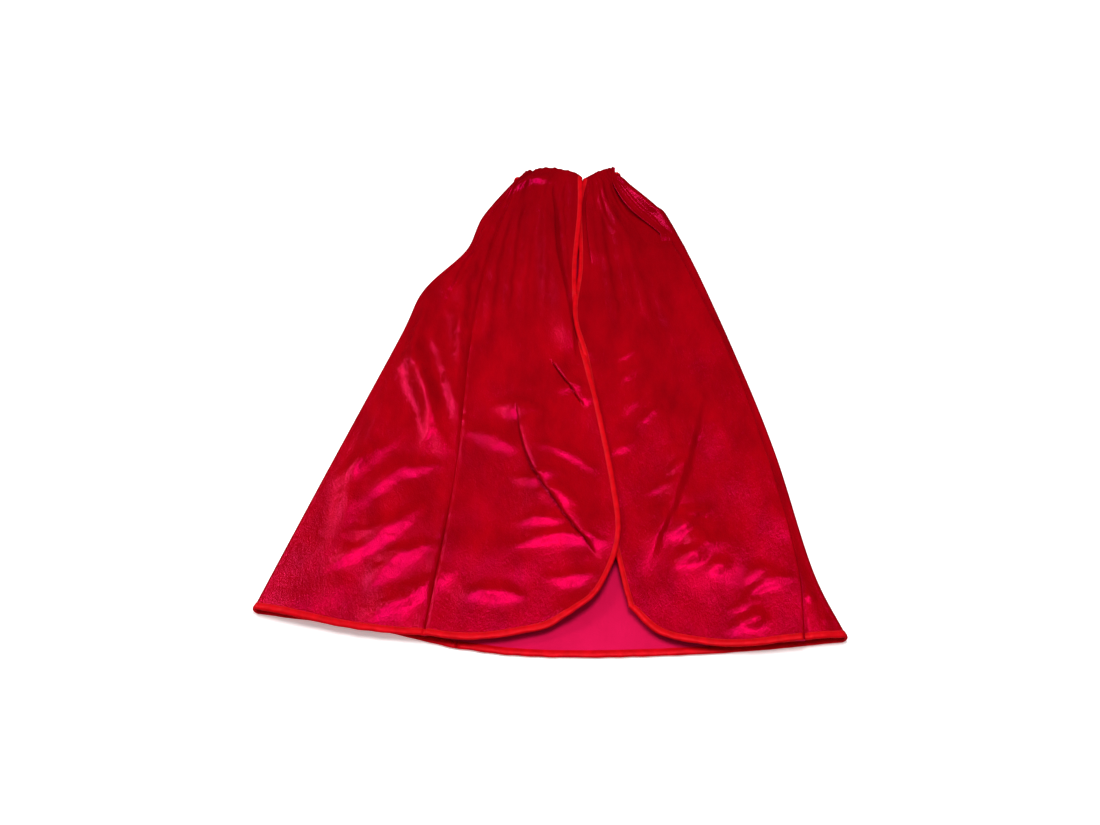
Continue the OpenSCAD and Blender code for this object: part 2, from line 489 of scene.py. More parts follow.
# How far across the gathers each front panel reaches, as a share.
LEFT_PANEL_SHARE = 0.62
RIGHT_PANEL_SHARE = 0.9
# The right front lies over the wrap below this line across the cape, and under it above.
CROSSING_Y, CROSSING_SPAN = 258, 30
SHOULDER_END_Y = 366


def normals_of(grid):
    du = np.gradient(grid, axis=1)
    dv = np.gradient(grid, axis=0)
    n = np.cross(du, dv)
    return n / np.maximum(np.linalg.norm(n, axis=2, keepdims=True), 1e-9)


def smooth_object(name, vertices, faces, materials, wrong=None):
    mesh = bpy.data.meshes.new(name)
    mesh.from_pydata((np.asarray(vertices) * MM).tolist(), [], faces)
    mesh.polygons.foreach_set("use_smooth", [True] * len(mesh.polygons))
    for material in materials:
        mesh.materials.append(material)
    if wrong is not None:
        mesh.polygons.foreach_set("material_index", wrong)
    mesh.update()
    return placed(name, mesh)


def cloth_piece(name, grid, flip=False, thick=THICK, faces_of=None):
    """A closed sheet of velvet: pile on the side its normals face, knit on the other."""
    n = normals_of(grid) * (-1 if flip else 1)
    rows, columns = grid.shape[:2]
    outer = (grid + n * thick / 2).reshape(-1, 3)
    inner = (grid - n * thick / 2).reshape(-1, 3)
    index = np.arange(rows * columns).reshape(rows, columns)
    a, b = index[:-1, :-1], index[:-1, 1:]
    c, d = index[1:, 1:], index[1:, :-1]
    quads = np.stack([a, b, c, d], axis=-1).reshape(-1, 4)
    if flip:
        quads = quads[:, ::-1]
    under = quads[:, ::-1] + rows * columns
    rim = np.concatenate([index[0, :-1], index[:-1, -1], index[-1, :0:-1], index[:0:-1, 0]])
    following = np.roll(rim, -1)
    sides = np.stack([following, rim, rim + rows * columns, following + rows * columns], axis=-1)
    if flip:
        sides = sides[:, ::-1]
    faces = np.concatenate([quads, under, sides]).tolist()
    wrong = [0] * len(quads) + [WRONG_SIDE] * (len(under) + len(sides))
    return smooth_object(name, np.concatenate([outer, inner]), faces, faces_of or [velvet, knit],
                         wrong)


def inward(line, towards):
    """Unit normals of a plan line, on the side where the point towards lies."""
    n = right_of(np.gradient(line, axis=0))
    middle = len(line) // 2
    return n if np.dot(n[middle], np.array(towards) - line[middle]) > 0 else -n


def turned(top, back, outer, normal, radius):
    """A sheet that lies as top, turns round the fold at outer, and comes back as back."""
    z_top, z_back = top[:, -1, 2], back[:, 0, 2]
    middle, half = (z_top + z_back) / 2, (z_top - z_back) / 2
    stops = [np.full(len(outer), np.pi / 2)]
    stops += [np.arcsin(np.clip((z - middle) / half, -0.9, 0.9)) for z in (BEND_TO, BEND_FROM)]
    stops.append(np.full(len(outer), -np.pi / 2))
    angle = [
        high + (low - high) * k / steps
        for high, low, steps in zip(stops[:-1], stops[1:], FOLD_STEPS) for k in range(steps)
    ][1:]
    centre = outer + normal * radius[:, None]
    arc = np.zeros((len(outer), len(angle), 3))
    for k, at in enumerate(angle):
        arc[:, k, :2] = centre - normal * (radius * np.cos(at))[:, None]
        arc[:, k, 2] = middle + half * np.sin(at)
    return np.concatenate([top, arc, back], axis=1)


def roll_over(grid, share):
    """Adds rows at the neck that roll over the top and down behind it, by a share of the roll
    from column to column; where that is nothing they only run on flat."""
    away = grid[0, :, :2] - grid[12, :, :2]
    away[:, 0] *= 0.35
    for _ in range(60):
        away[1:-1] = (away[:-2] + 2 * away[1:-1] + away[2:]) / 4
    away = unit(away)
    room = (grid[0, :, 2] - FRONT_LOWEST) / (2 * ROLL_RADIUS + 2 * ROLL_TAIL)
    share = np.minimum(share, np.maximum(room, 0))
    extra = []
    for k in range(1, ROLL_STEPS + 1):
        turn = math.radians(175) * min(k / (ROLL_STEPS - 2), 1)
        straight = max(k - (ROLL_STEPS - 2), 0) * ROLL_TAIL
        out = share * ROLL_RADIUS * math.sin(turn) + (1 - share) * 0.6 * k
        drop = share * (ROLL_RADIUS * (1 - math.cos(turn)) + straight)
        row = grid[0].copy()
        row[:, :2] += away * out[:, None]
        row[:, 2] -= drop
        extra.append(row)
    return np.concatenate([np.array(extra[::-1]), grid], axis=0)


def lay(plan, z):
    return np.concatenate([plan, np.asarray(z)[..., None]], axis=-1)


def fold_radius(y):
    """The side folds are soft at the shoulder and flatter towards the hem."""
    return 4.2 + 4.5 * ease((y - 180) / 150)


def front_order(y):
    """1 where the left front edge lies over the right one, and -1 where it lies under it."""
    return 1 - 2 * ease((156 - y) / 22) * ease((y - 34) / 22)


def meet(z, x, y, edge, order):
    """Brings both fronts to one common height at their edges, one edge above the other."""
    gap, _, _ = distance_to(curve(edge, 60), x, y)
    near = np.exp(-((gap / 15) ** 2))
    common = FRONT_Z + 2.2 + 0.92 * neck_rise(x, y) + 0.35 * crumple(x, y, 77)
    return z * (1 - near) + near * (common + 1.9 * order * front_order(y))


def left_height(plan, share):
    x, y = plan[..., 0], plan[..., 1]
    down = np.hypot(GATHER_Y - y, 0.25 * (x - 20))
    z = FRONT_Z + 0.6 + neck_rise(x, y) + raise_folds(x, y, LEFT_FOLDS) + crumple(x, y, 11)
    z += raise_rolls(x, y, lay_rolls(LEFT_FAMILIES))
    z += gathers(share, down, 5, 12, GATHER_HEIGHT, GATHER_REACH)
    gap, _, _ = distance_to(curve(LEFT_SEAM, 40), x, y)
    z += 1.0 * np.exp(-((gap / 9) ** 2))
    z -= 3.0 * np.exp(-((gap / 2.2) ** 2)) - 0.7 * np.exp(-((gap / 7) ** 2)) * noise(x, y, 9, 15)
    return meet(z, x, y, LEFT_EDGE, 1)


def right_height(plan, share):
    x, y = plan[..., 0], plan[..., 1]
    down = np.hypot(GATHER_Y - y, 0.25 * (x - 70))
    z = FRONT_Z + neck_rise(x, y) + raise_folds(x, y, RIGHT_FOLDS) + crumple(x, y, 23)
    z += raise_rolls(x, y, lay_rolls(RIGHT_FAMILIES))
    z += gathers(share, down, 9, 9, GATHER_HEIGHT, GATHER_REACH)
    return meet(z, x, y, RIGHT_EDGE, -1)


def settle(z, lowest):
    """Keeps a front layer above its lowest height, with no sharp corner where it would dip."""
    over = z - lowest
    return lowest + 0.5 * (over + np.sqrt(over * over + 2.0))


def level(z, share, at, keep):
    """Brings a height to the fold's own height over the last part of the way to it."""
    w = ease((share - (1 - keep)) / keep)
    return z * (1 - w) + at * w


def share_across(plan, start, end):
    """A share that runs evenly from start to end across a sheet's columns."""
    return np.broadcast_to(np.linspace(start, end, plan.shape[1]), plan.shape[:2])


def side_fold(line):
    """A side fold's line, the way in from it, its radius, and where the cloth has turned flat."""
    outer = curve(line, ROWS)
    normal = inward(outer, MIDDLE)
    radius = fold_radius(outer[:, 1])
    return outer, normal, radius, outer + normal * radius[:, None]


BACK_WAVES = [(0.8, 46, 41), (0.35, 17, 42)]


def back_height(plan):
    x, y = plan[..., 0], plan[..., 1]
    return BACK_Z + 0.5 * np.clip(layered(x, y, BACK_WAVES), -0.8, 0.8)


def back_sheet(inner, neck_points, hem_points, columns):
    """The back from where it has turned round a side fold to the line where its halves meet."""
    neck = curve([tuple(inner[0]), *neck_points, BACK_SPLIT[0]], columns)
    hem = curve([tuple(inner[-1]), *hem_points, BACK_SPLIT[-1]], columns)
    plan = patch(neck, hem, inner, curve(BACK_SPLIT, ROWS))
    return lay(plan, back_height(plan))


def left_panel_sheet():
    plan = patch(curve(LEFT_NECK, LEFT_WIDE), curve(LEFT_HEM[::-1], LEFT_WIDE),
                 curve(LEFT_EDGE, ROWS), curve(LEFT_SEAM, ROWS))
    share = share_across(plan, 0, LEFT_PANEL_SHARE)
    return lay(plan, settle(left_height(plan, share), FRONT_LOWEST))


def left_wrap_sheet(inner, fold_y, seam_z):
    """The part of the back that has turned round the left fold, as far as the seam."""
    neck = curve([LEFT_NECK[-1], *LEFT_WRAP_NECK, tuple(inner[0])], LEFT_WRAP_WIDE)
    hem = curve([LEFT_HEM[0], *LEFT_WRAP_HEM, tuple(inner[-1])], LEFT_WRAP_WIDE)
    plan = patch(neck, hem, curve(LEFT_SEAM, ROWS), inner)
    share = share_across(plan, LEFT_PANEL_SHARE, 1)
    z = settle(left_height(plan, share), FRONT_LOWEST)
    across = np.linspace(0, 1, LEFT_WRAP_WIDE + 1)[None, :]
    fold_top = 11.3 + 9 * ease((fold_y - 230) / 120)
    z = level(z, across, fold_top, 0.22)
    z[:, 0] = seam_z
    return lay(plan, z)


def make_left():
    """The left front panel, and the back's left half with its turn round the side fold."""
    panel = left_panel_sheet()
    outer, normal, radius, inner = side_fold(LEFT_FOLD)
    wrap = left_wrap_sheet(inner, outer[:, 1:2], panel[:, -1, 2])
    back = back_sheet(inner, LEFT_BACK_NECK, LEFT_BACK_HEM, LEFT_BACK_WIDE)
    whole = turned(lap_over(wrap, LEFT_LAPS), back, outer, normal, radius)
    rolled = 1 - ease((np.arange(whole.shape[1]) / LEFT_WRAP_WIDE - 0.5) / 0.5)
    panel = roll_over(lap_over(panel, LEFT_LAPS), np.ones(LEFT_WIDE + 1))
    return panel, roll_over(whole, rolled)


def right_panel_sheet(flap, normal, low):
    """The right front, which reaches further under the wrap at the shoulder. low is 1 where the
    front lies over the wrap and 0 where it runs under it."""
    y = flap[:, 1:2]
    reach = flap - normal * 13 * (1 - low) * ease((SHOULDER_END_Y - y) / 20)
    plan = patch(curve(RIGHT_NECK, RIGHT_WIDE), curve(RIGHT_HEM, RIGHT_WIDE),
                 curve(RIGHT_EDGE, ROWS), reach)
    share = share_across(plan, 0, RIGHT_PANEL_SHARE)
    z = settle(right_height(plan, share), FRONT_LOWEST)
    across = np.linspace(0, 1, RIGHT_WIDE + 1)[None, :]
    z += 5.6 * low * ease((across - 0.6) / 0.38)
    z -= 6.0 * (1 - low) * ease((across - 0.55) / 0.35) * ease((SHOULDER_END_Y - y) / 30)
    return lap_over(lay(plan, np.maximum(z, FRONT_LOWEST)), RIGHT_LAPS)


def with_tuck(panel, normal, low):
    """Adds the flap's edge, which turns under towards its seam."""
    turn = np.linspace(0, 1, TUCK_STEPS + 1)[None, 1:]
    tuck = np.zeros((ROWS + 1, turn.shape[1], 3))
    swing = np.pi * np.minimum(turn * 2, 1)
    out = 1.5 * np.sin(swing) - 9.0 * low * np.maximum(turn * 2 - 1, 0) + 0.4 * turn * (1 - low)
    tuck[..., :2] = panel[:, -1:, :2] - normal[:, None] * out[..., None]
    tuck[..., 2] = panel[:, -1:, 2] - 1.0 * (1 - np.cos(swing)) * low
    return np.concatenate([panel, tuck], axis=1)


def right_wrap_sheet(start, inner, fold_y, flap_y, flap_z, low):
    """The narrow strip between the flap and the right fold: under the flap below the shoulder,
    and over the front above it."""
    neck = curve([tuple(start[0]), tuple(inner[0])], RIGHT_WRAP_WIDE)
    hem = curve([tuple(start[-1]), tuple(inner[-1])], RIGHT_WRAP_WIDE)
    plan = patch(neck, hem, start, inner)
    x, y = plan[..., 0], plan[..., 1]
    z = FRONT_Z + 0.4 + neck_rise(x, y) + 0.8 * crumple(x, y, 31)
    z += raise_rolls(x, y, lay_rolls(CORNER_FAMILIES))
    across = np.linspace(0, 1, RIGHT_WRAP_WIDE + 1)[None, :]
    share = np.broadcast_to(0.7 + 0.3 * across, plan.shape[:2])
    z += gathers(share, GATHER_Y - y, 9, 12, 1.6, 60)
    fold_top = 11.6 + 12 * ease((fold_y - 230) / 90)
    z = level(settle(z, FRONT_LOWEST), across, fold_top, 0.35)
    roof = flap_z - 4.6
    under = np.minimum(z, roof + 40 * ease((across - 0.45) / 0.4))
    step = 1.2 + 3.0 * ease((368 - flap_y) / 30) * (1 - 0.5 * across)
    over = np.maximum(z, flap_z + step)
    return lay(plan, np.maximum(under * low + over * (1 - low), FRONT_LOWEST - 0.4))


def with_lip(wrap, start, normal, low):
    """Adds the strip's own edge, which turns under at the shoulder, over the front."""
    lip = np.zeros((ROWS + 1, LIP_STEPS, 3))
    swing = np.linspace(np.pi, 0, LIP_STEPS + 1)[None, :-1]
    lip[..., :2] = start[:, None] + normal[:, None] * (
        1.3 * np.sin(swing) * (1 - low) - 3.0 * (swing / np.pi) * (1 - low)
        + 0.35 * (swing + 0.1) * low
    )[..., None]
    lip[..., 2] = wrap[:, :1, 2] - 1.0 * (1 - np.cos(swing)) * (1 - low)
    return np.concatenate([lip, wrap], axis=1)


def make_right():
    """The right front panel, and the back's right half with its turn round the side fold."""
    flap = curve(RIGHT_FLAP, ROWS)
    flap_y = flap[:, 1:2]
    low = ease((CROSSING_Y - flap_y) / CROSSING_SPAN)
    normal = inward(flap, MIDDLE)
    panel = with_tuck(right_panel_sheet(flap, normal, low), normal, low)

    outer, out_normal, radius, inner = side_fold(RIGHT_FOLD)
    start = flap + normal * 20 * low
    flap_z = panel[:, RIGHT_WIDE : RIGHT_WIDE + 1, 2]
    wrap = right_wrap_sheet(start, inner, outer[:, 1:2], flap_y, flap_z, low)
    wrap = with_lip(wrap, start, normal, low)

    back = back_sheet(inner, RIGHT_BACK_NECK, RIGHT_BACK_HEM, RIGHT_BACK_WIDE)
    whole = turned(wrap, back, outer, out_normal, radius)
    rolled = 1 - ease((np.arange(whole.shape[1]) / RIGHT_WRAP_WIDE - 0.45) / 0.6)
    return roll_over(panel, np.ones(panel.shape[1])), roll_over(whole, rolled)


# ------------------------ bindings and thread

# Cross-section of a binding folded over an edge: share of the way in from the edge, and
# height above the middle of the fabric. The dip is where the topstitching pulls it down.
BINDING_TOP = [(1.0, 0.85), (0.95, 1.2), (0.87, 1.0), (0.78, 1.45), (0.5, 1.7), (0.25, 1.65),
               (0.06, 1.2), (-0.05, 0.45)]
BINDING = BINDING_TOP + [(a, -h) for a, h in reversed(BINDING_TOP)]
STITCH_AT, STITCH_RISE = 0.87, 1.12
STITCH_PITCH, STITCH_LENGTH, STITCH_RADIUS, STITCH_SIDES = 3.2, 2.3, 0.28, 5
# A stitch's thickness along its length, as shares of its length and of its radius.
STITCH = [(-0.5, 0.25), (-0.32, 0.9), (0.0, 1.0), (0.32, 0.9), (0.5, 0.25)]


def surface_of(grid):
    rows, columns = grid.shape[:2]
    index = np.arange(rows * columns).reshape(rows, columns)
    quads = np.stack([index[:-1, :-1], index[:-1, 1:], index[1:, 1:], index[1:, :-1]], axis=-1)
    return BVHTree.FromPolygons(grid.reshape(-1, 3).tolist(), quads.reshape(-1, 4).tolist())


def dropped(tree, x, y, fallback):
    """Height of a sheet under a plan position."""
    place, _, _, _ = tree.ray_cast(Vector((x, y, 200.0)), Vector((0, 0, -1)))
    return fallback if place is None else place.z


def stations_in_plan(grid, line, inside, width):
    """Edge, middle and inner points of a binding along a line on the border of a flat sheet."""
    tree = surface_of(grid)
    step = 3
    plan = line[:, :2]
    ahead = np.roll(plan, -step, axis=0)
    behind = np.roll(plan, step, axis=0)
    ahead[-step:], behind[:step] = plan[-1], plan[0]
    n = right_of(ahead - behind) * inside
    points = []
    for reach in (0.0, 0.5, 1.0):
        at = plan + n * (reach * width)[:, None]
        z = [
            line[k, 2] if reach == 0 else dropped(tree, at[k, 0], at[k, 1], line[k, 2])
            for k in range(len(line))
        ]
        points.append(lay(at, z))
    normal = np.cross(np.gradient(points[0], axis=0), points[2] - points[0])
    normal *= np.sign(normal[:, 2:3])
    return points, unit(normal)


def stations_on_rows(rows, normal, width):
    """The same along the border of a grid, where rows[0] is the border and rows[1:] lie inside."""
    steps = np.linalg.norm(np.diff(rows, axis=0), axis=2)
    reach = np.concatenate([np.zeros((1, rows.shape[1])), np.cumsum(steps, axis=0)])
    points = []
    for share in (0.0, 0.5, 1.0):
        at = [
            [np.interp(share * width[k], reach[:, k], rows[:, k, axis]) for axis in range(3)]
            for k in range(rows.shape[1])
        ]
        points.append(np.array(at))
    return points, normal


def across_binding(points, share):
    """Points a share of the way in across a binding; the share can differ between stations."""
    edge, middle, inner = points
    share = np.broadcast_to(share, len(edge))[:, None]
    near = edge + (middle - edge) * share * 2
    far = middle + (inner - middle) * (share * 2 - 1)
    return np.where(share <= 0.5, near, far)


def tube_faces(stations, sides, offset=0):
    """Quads round a tube of rings with so many sides, and its two end caps."""
    index = np.arange(stations * sides).reshape(stations, sides) + offset
    turn = np.roll(index, -1, axis=1)
    quads = np.stack([index[:-1], turn[:-1], turn[1:], index[1:]], axis=-1).reshape(-1, 4)
    return quads.tolist() + [index[0][::-1].tolist(), index[-1].tolist()]


def binding_piece(name, points, normal, seed):
    """A strip of satin folded over the edge, with the slight rumple of a sewn bias strip."""
    count = len(normal)
    run = reach_along(points[0])
    ring = []
    for place, (share, height) in enumerate(BINDING):
        rumple = (
            1 + 0.18 * noise(run, run * 0, 9, seed) + 0.14 * noise(run, place * 2.0, 4.2, seed + 1)
            + 0.08 * noise(run, place * 2.0, 1.8, seed + 2)
        )
        rumple = np.clip(rumple, 0.8, 1.2)
        wander = 0.05 * noise(run, run * 0, 12, seed + 3) if share < 0.3 else 0.0
        at = across_binding(points, share + wander)
        ring.append(at + normal * (height * rumple)[:, None])
    vertices = np.stack(ring, axis=1).reshape(-1, 3)
    return smooth_object(name, vertices, tube_faces(count, len(BINDING)), [satin])


def stitch_piece(name, points, normal):
    """Topstitching: short lengths of thread lying along the binding, on its upper side."""
    line = across_binding(points, STITCH_AT) + normal * STITCH_RISE
    reach = reach_along(line)
    at = np.arange(STITCH_PITCH, reach[-1] - STITCH_PITCH, STITCH_PITCH)
    vertices, faces = [], []
    turn = np.linspace(0, 2 * np.pi, STITCH_SIDES, endpoint=False)
    middle, up = read_off(line, reach, at), read_off(normal, reach, at)
    half = STITCH_LENGTH / 2
    t = unit(read_off(line, reach, at + half) - read_off(line, reach, at - half))
    side = np.cross(up, t)
    for k in range(len(at)):
        base = len(vertices)
        for share, wide in STITCH:
            centre = middle[k] + t[k] * share * STITCH_LENGTH
            centre = centre - up[k] * (2 * share) ** 2 * STITCH_RADIUS
            for a in turn:
                around = side[k] * math.cos(a) + up[k] * math.sin(a)
                vertices.append(centre + STITCH_RADIUS * wide * around)
        faces += tube_faces(len(STITCH), STITCH_SIDES, base)
    return smooth_object(name, vertices, faces, [thread])


def joined(*parts):
    points = [np.concatenate([p[0][k] for p in parts]) for k in range(3)]
    return points, np.concatenate([p[1] for p in parts])


# ------------------------ materials

VELVET_DARK, VELVET_LIGHT = (0.34, 0.0003, 0.005), (0.50, 0.0004, 0.008)
# Painted shade: the velvet runs half way to a deeper red between these two places up the cape,
# standing in for the shade that the gathered pleats near the neck hold.
VELVET_PAINTED_SHADE = (0.27, 0.0002, 0.004)
PAINTED_SHADE_FROM, PAINTED_SHADE_TO = 60, 330
KNIT_DARK, KNIT_LIGHT = (0.70, 0.004, 0.092), (0.77, 0.006, 0.108)
SATIN_DARK, SATIN_LIGHT = (0.50, 0.0004, 0.005), (0.64, 0.0008, 0.010)
THREAD_DARK, THREAD_LIGHT = (0.40, 0.012, 0.015), (0.55, 0.03, 0.03)
WIRE_DARK, WIRE_LIGHT = (0.50, 0.50, 0.51), (0.66, 0.65, 0.64)


def new_material(name):
    material = bpy.data.materials.new(name)
    material.use_nodes = True
    tree = material.node_tree
    return material, tree, tree.nodes["Principled BSDF"]


def node(tree, kind, **settings):
    made = tree.nodes.new(kind)
    for key, value in settings.items():
        if key in made.inputs:
            made.inputs[key].default_value = value
        else:
            setattr(made, key, value)
    return made


def places(tree, scale=(1, 1, 1)):
    """Object coordinates in millimetres, stretched by scale."""
    coordinates = tree.nodes.new("ShaderNodeTexCoord")
    mapping = tree.nodes.new("ShaderNodeMapping")
    mapping.inputs["Scale"].default_value = [1000 * k for k in scale]
    tree.links.new(coordinates.outputs["Object"], mapping.inputs["Vector"])
    return mapping.outputs["Vector"]


def noise_node(tree, size, stretch=(1, 1, 1), detail=2.0, rough=0.5):
    """Noise with features about size millimetres across."""
    made = node(tree, "ShaderNodeTexNoise", Scale=1.0 / size, Detail=detail, Roughness=rough)
    tree.links.new(places(tree, stretch), made.inputs["Vector"])
    return made.outputs["Fac"]


def ranged(tree, value, low, high, to_low, to_high):
    made = node(tree, "ShaderNodeMapRange")
    for key, number in zip(("From Min", "From Max", "To Min", "To Max"),
                           (low, high, to_low, to_high)):
        made.inputs[key].default_value = number
    tree.links.new(value, made.inputs["Value"])
    return made.outputs["Result"]


def blended(tree, factor, first, second):
    """A colour that runs from the first to the second. Each is a colour or a node's output."""
    made = node(tree, "ShaderNodeMix", data_type="RGBA")
    ends = {"A": first, "B": second}
    for socket in made.inputs:
        if socket.type != "RGBA" or socket.name not in ends:
            continue
        end = ends[socket.name]
        if isinstance(end, tuple):
            socket.default_value = (*end, 1)
        else:
            tree.links.new(end, socket)
    tree.links.new(factor, made.inputs["Factor"])
    return [o for o in made.outputs if o.type == "RGBA"][0]


def bumped(tree, shader, *layers):
    """Stacks bump layers, each a height and how far it stands, in millimetres."""
    normal = None
    for height, depth in layers:
        bump = node(tree, "ShaderNodeBump", Strength=1.0, Distance=depth * MM)
        tree.links.new(height, bump.inputs["Height"])
        if normal is not None:
            tree.links.new(normal, bump.inputs["Normal"])
        normal = bump.outputs["Normal"]
    tree.links.new(normal, shader.inputs["Normal"])


def make_velvet():
    material, tree, shader = new_material("red_velvet")
    patches = noise_node(tree, 40, stretch=(1.4, 0.6, 1), detail=4, rough=0.6)
    colour = blended(tree, ranged(tree, patches, 0.3, 0.7, 0, 1),
                     VELVET_DARK, VELVET_LIGHT)
    place = node(tree, "ShaderNodeSeparateXYZ")
    tree.links.new(places(tree), place.inputs["Vector"])
    # painted shade: the velvet's colour darkens towards the neck, in place of the shade held in
    # the gathers
    painted_shade = ranged(tree, place.outputs["Y"], PAINTED_SHADE_FROM, PAINTED_SHADE_TO, 0, 0.5)
    colour = blended(tree, painted_shade, colour, VELVET_PAINTED_SHADE)
    tree.links.new(colour, shader.inputs["Base Color"])
    pile = noise_node(tree, 2.4, stretch=(1.3, 0.8, 1), detail=3, rough=0.75)
    nap = noise_node(tree, 8, stretch=(1.5, 0.7, 1), detail=2)
    tree.links.new(ranged(tree, pile, 0.35, 0.65, 0.14, 0.24), shader.inputs["Roughness"])
    # a trace of metal keeps the pile's own red in its gloss, which a plain gloss turns white
    shader.inputs["Metallic"].default_value = 0.18
    shader.inputs["Specular Tint"].default_value = (1.0, 0.004, 0.5, 1)
    shader.inputs["Specular IOR Level"].default_value = 0.7
    shader.inputs["Sheen Weight"].default_value = 0.05
    shader.inputs["Sheen Roughness"].default_value = 0.4
    shader.inputs["Sheen Tint"].default_value = (1.0, 0.01, 0.12, 1)
    bumped(tree, shader, (pile, 0.5), (nap, 0.36))
    return material


def make_knit():
    material, tree, shader = new_material("velvet_wrong_side")
    patches = noise_node(tree, 48, detail=2)
    colour = blended(tree, ranged(tree, patches, 0.3, 0.7, 0, 1),
                     KNIT_DARK, KNIT_LIGHT)
    tree.links.new(colour, shader.inputs["Base Color"])
    shader.inputs["Roughness"].default_value = 0.85
    shader.inputs["Specular IOR Level"].default_value = 0.15
    wale = node(tree, "ShaderNodeTexWave", Scale=0.9, Distortion=1.5)
    tree.links.new(places(tree), wale.inputs["Vector"])
    bumped(tree, shader, (wale.outputs["Fac"], 0.12), (noise_node(tree, 1.6), 0.2))
    return material


def make_satin():
    material, tree, shader = new_material("red_satin")
    patches = noise_node(tree, 9, detail=2)
    colour = blended(tree, ranged(tree, patches, 0.3, 0.7, 0, 1),
                     SATIN_DARK, SATIN_LIGHT)
    tree.links.new(colour, shader.inputs["Base Color"])
    shader.inputs["Roughness"].default_value = 0.36
    shader.inputs["Specular Tint"].default_value = (1.0, 0.08, 0.12, 1)
    shader.inputs["Specular IOR Level"].default_value = 0.7
    bumped(tree, shader, (noise_node(tree, 0.8, stretch=(1, 1.6, 1)), 0.15))
    return material


def make_thread():
    material, tree, shader = new_material("red_thread")
    patches = noise_node(tree, 1.2)
    colour = blended(tree, patches, THREAD_DARK, THREAD_LIGHT)
    tree.links.new(colour, shader.inputs["Base Color"])
    shader.inputs["Roughness"].default_value = 0.6
    return material


def make_wire():
    material, tree, shader = new_material("nickel_wire")
    worn = noise_node(tree, 2.5)
    colour = blended(tree, worn, WIRE_DARK, WIRE_LIGHT)
    tree.links.new(colour, shader.inputs["Base Color"])
    tree.links.new(ranged(tree, worn, 0.3, 0.7, 0.24, 0.38), shader.inputs["Roughness"])
    shader.inputs["Metallic"].default_value = 1.0
    return material


velvet, knit, satin, thread = make_velvet(), make_knit(), make_satin(), make_thread()
wire = make_wire()


# ------------------------ seams and closure

ALLOWANCE_W = 6.0
# The overlocking thread: steps in a turn, sides, radius, and the distance between turns.
WINDING_STEPS, WINDING_SIDES, WINDING_RADIUS, WINDING_PITCH = 10, 4, 0.3, 2.8
# A slanting direction that the thread's rings are turned from.
OFF_AXIS = np.array([0.31, 0.17, 0.93])
TAB_MARGIN, TAB_REACH, TAB_THICK = 0.8, 12, 1.1
ALLOWANCE = [(0.0, 0.6), (0.5, 0.75), (1.0, 0.5), (1.0, -0.5), (0.5, -0.75), (0.0, -0.6)]


def allowance_piece(name, line, into, drop):
    """A seam allowance under a seam, with the overlocking thread wound round its edge."""
    n = right_of(np.gradient(line[:, :2], axis=0)) * into
    ring = []
    for share, height in ALLOWANCE:
        at = line.copy()
        at[:, :2] += n * share * ALLOWANCE_W
        at[:, 2] += height - drop
        ring.append(at)
    faces = tube_faces(len(line), len(ALLOWANCE))
    strip = smooth_object(name, np.stack(ring, axis=1).reshape(-1, 3), faces, [knit])

    reach = reach_along(line)
    angle = np.arange(0, reach[-1] / WINDING_PITCH * 2 * np.pi, 2 * np.pi / WINDING_STEPS)
    at = angle / (2 * np.pi) * WINDING_PITCH
    path = read_off(line, reach, at)
    path[:, :2] += read_off(n, reach, at) * (ALLOWANCE_W * (0.66 + 0.4 * np.cos(angle)))[:, None]
    path[:, 2] += 1.0 * np.sin(angle) - drop
    t = unit(np.gradient(path, axis=0))
    across = unit(np.cross(t, OFF_AXIS))
    up = np.cross(across, t)
    rings = [
        path + WINDING_RADIUS * (across * math.cos(a) + up * math.sin(a))
        for a in np.linspace(0, 2 * np.pi, WINDING_SIDES, endpoint=False)
    ]
    winding = smooth_object(name + "_thread", np.stack(rings, 1).reshape(-1, 3),
                            tube_faces(len(path), WINDING_SIDES), [thread])
    return strip, winding


def closure_tab(name, node):
    """The satin tab under the neck edge that a hook or eye is sewn to."""
    low, high = (np.array(corner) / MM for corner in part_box(node))
    x = np.linspace(low[0] - TAB_MARGIN, high[0] + TAB_MARGIN, 13)
    y = np.linspace(high[1] + TAB_REACH, low[1] + 1.0, 21)
    plan = np.stack(np.meshgrid(x, y), axis=-1)
    rise = 6.0 * ease((plan[..., 1] - high[1]) / TAB_REACH)
    edge = np.minimum((plan[..., 0] - x[0]) / 1.5, (x[-1] - plan[..., 0]) / 1.5)
    z = high[2] + 0.8 + rise - 0.25 * (1 - ease(edge))
    return cloth_piece(name, lay(plan, z)[::-1], thick=TAB_THICK, faces_of=[satin, satin])


# ------------------------ the assembly

HEM_W = 8.0
FRONT_W = 5.8
NECK_W = 6.5


def round_fold(piece):
    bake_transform(piece)


def front_width(line):
    return FRONT_W + (HEM_W - FRONT_W) * ease((-line[:, 1] - 290) / 50)


def border_run(grid, way, width, skip=0):
    """The stations of a binding along a grid's first row."""
    columns = grid.shape[1] - skip
    return stations_on_rows(grid[:8, skip:], way * normals_of(grid)[0, skip:],
                            np.full(columns, width))


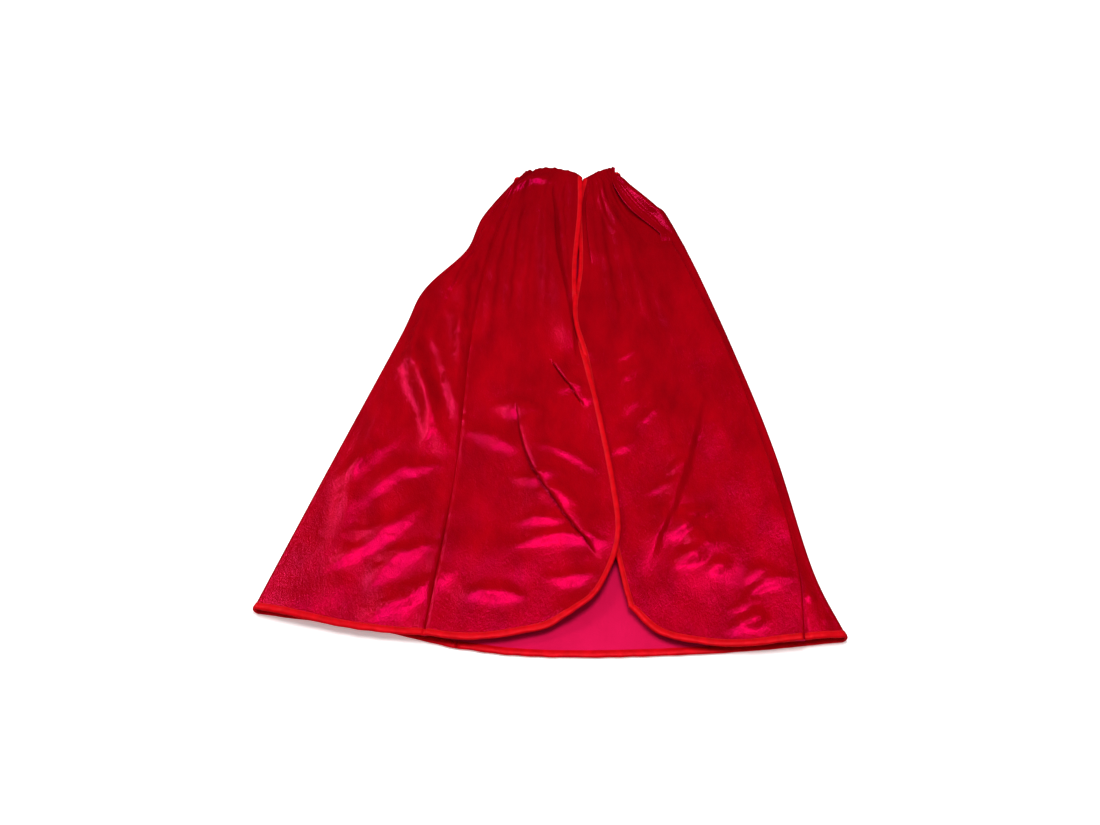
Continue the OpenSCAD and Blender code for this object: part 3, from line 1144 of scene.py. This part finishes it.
def make_bindings(left_panel, left_turned, right_panel, right_turned):
    top = ROLL_STEPS - 3
    flat = left_panel[top:]
    line = np.concatenate([flat[:, 0], flat[-1, 1:]])
    left_run = joined(
        stations_in_plan(flat, line, 1, front_width(line)),
        stations_on_rows(left_turned[::-1][:8, 1:], normals_of(left_turned)[-1, 1:],
                         np.full(left_turned.shape[1] - 1, HEM_W)),
    )
    flat = right_panel[top:, : RIGHT_WIDE + 1]
    line = np.concatenate([flat[:, 0], flat[-1, 1:]])
    right_run = stations_in_plan(flat, line, -1, front_width(line))
    turned_run = stations_on_rows(right_turned[::-1][:8], -normals_of(right_turned)[-1],
                                  np.full(right_turned.shape[1], HEM_W))
    left_neck = joined(border_run(left_panel, 1, NECK_W), border_run(left_turned, 1, NECK_W, 1))
    right_neck = border_run(right_panel[:, : RIGHT_WIDE + 1], -1, NECK_W)
    back_neck = border_run(right_turned, -1, NECK_W, LIP_STEPS)

    plans = [
        ("left_front", left_run, 51, "left_front", ["left_front_binding"]),
        ("right_front", right_run, 61, None, ["right_front_binding"]),
        ("back_hem", turned_run, 71, "right_front", ["back_hem_binding"]),
        ("left_neck", left_neck, 81, "left_front", ["left_neck_binding"]),
        ("right_neck", right_neck, 91, None, ["right_neck_binding"]),
        ("back_neck", back_neck, 93, "right_front", ["back_neck_binding"]),
    ]
    strips = {}
    for name, run, seed, front, nodes in plans:
        strip = binding_piece(name + "_satin", *run, seed)
        sewing = stitch_piece(name + "_topstitching", *run)
        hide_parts(*nodes)
        for piece in (strip, sewing):
            if front is None:
                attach(piece, "right_front")
            else:
                round_fold(piece)
        strips[name] = [strip, sewing]
    return strips


def make_seams(left_panel, right_panel):
    line = left_panel[ROLL_STEPS + 6 : -6, -1]
    left = allowance_piece("left_seam_allowance", line, -1, 1.7)
    line = right_panel[ROLL_STEPS + 60 : -6, -2]
    right = allowance_piece("right_seam_allowance", line, 1, 1.6)
    for pair, side in ((left, "left"), (right, "right")):
        for piece in pair:
            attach(piece, side + "_front")
        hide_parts(side + "_side_seam")


def make_closure():
    for node, side in (("neck_hook", "left"), ("neck_eye", "right")):
        tab = closure_tab(side + "_closure_tab", node)
        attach(tab, side + "_front")
        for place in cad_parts[node].material_slots:
            place.material = wire


def make_cape():
    left_panel, left_turned = make_left()
    right_panel, right_turned = make_right()
    left_front = cloth_piece("left_front_velvet", left_panel)
    left_wrap = cloth_piece("left_wrap_velvet", left_turned)
    right_front = cloth_piece("right_front_velvet", right_panel, flip=True)
    right_wrap = cloth_piece("right_wrap_velvet", right_turned, flip=True)
    strips = make_bindings(left_panel, left_turned, right_panel, right_turned)
    make_seams(left_panel, right_panel)
    make_closure()

    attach(left_front, "left_front")
    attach(right_front, "right_front")
    round_fold(left_wrap)
    round_fold(right_wrap)
    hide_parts("left_front_panel")
    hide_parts("right_front_panel")
    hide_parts("left_side_wrap", "back_panel")
    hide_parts("right_side_wrap", "back_panel")


make_cape()
bpy.context.scene.view_settings.view_transform = "Standard"
bpy.context.scene.view_settings.gamma = GAMMA
make_camera()
make_light()
make_floor()
